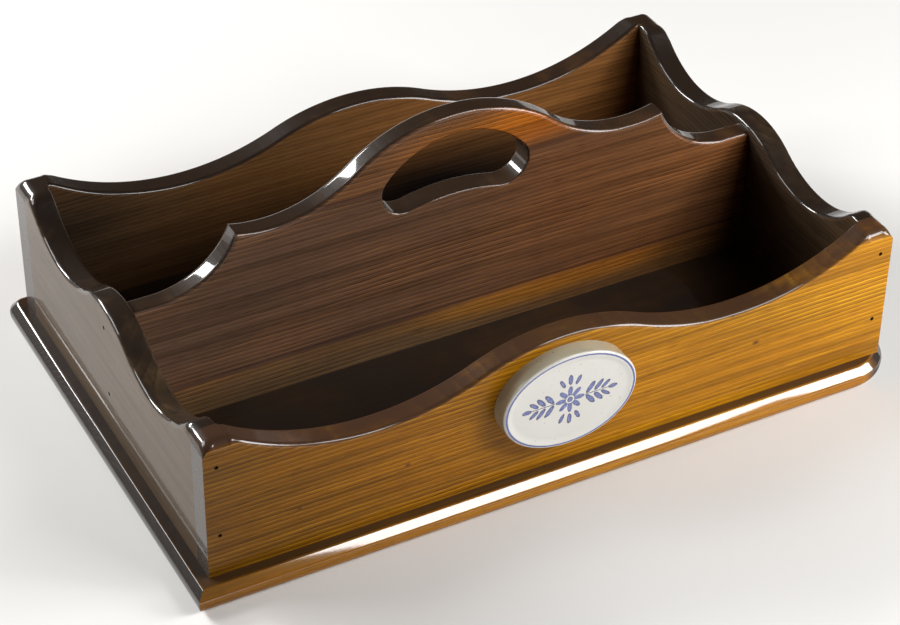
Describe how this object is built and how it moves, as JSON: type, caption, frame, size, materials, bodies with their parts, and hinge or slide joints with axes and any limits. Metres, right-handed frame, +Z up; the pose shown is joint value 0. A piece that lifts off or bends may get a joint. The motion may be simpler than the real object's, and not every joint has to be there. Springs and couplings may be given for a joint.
{
  "type": "knife tray",
  "caption": "Open wooden knife tray with long compartments either side of a pierced handle board, a serpentine rim, a rounded base and an oval glazed plaque.",
  "frame": {"origin": "on the floor under the middle of the base board", "axes": "+X along the length to the right, +Y from the front board to the back board, +Z up"},
  "size_m": [0.42, 0.274, 0.159],
  "materials": {
    "base_wood": "polished lacquer",
    "front_wood": "polished lacquer",
    "back_wood": "polished lacquer",
    "end_wood": "polished lacquer",
    "divider_wood": "polished lacquer",
    "plaque_glaze": "glossy glaze with blue decoration",
    "glue": "set glue",
    "nail_steel": "dulled",
    "screw_brass": "dulled"
  },
  "bodies": {
    "root": {"base_board": "base_wood", "front_board": "front_wood", "back_board": "back_wood", "left_end": "end_wood", "right_end": "end_wood", "divider": "divider_wood", "plaque": "plaque_glaze", "plaque_glue": "glue", "front_nails": "nail_steel", "back_nails": "nail_steel", "divider_nails": "nail_steel", "base_screws": "screw_brass"}
  },
  "joints": []
}
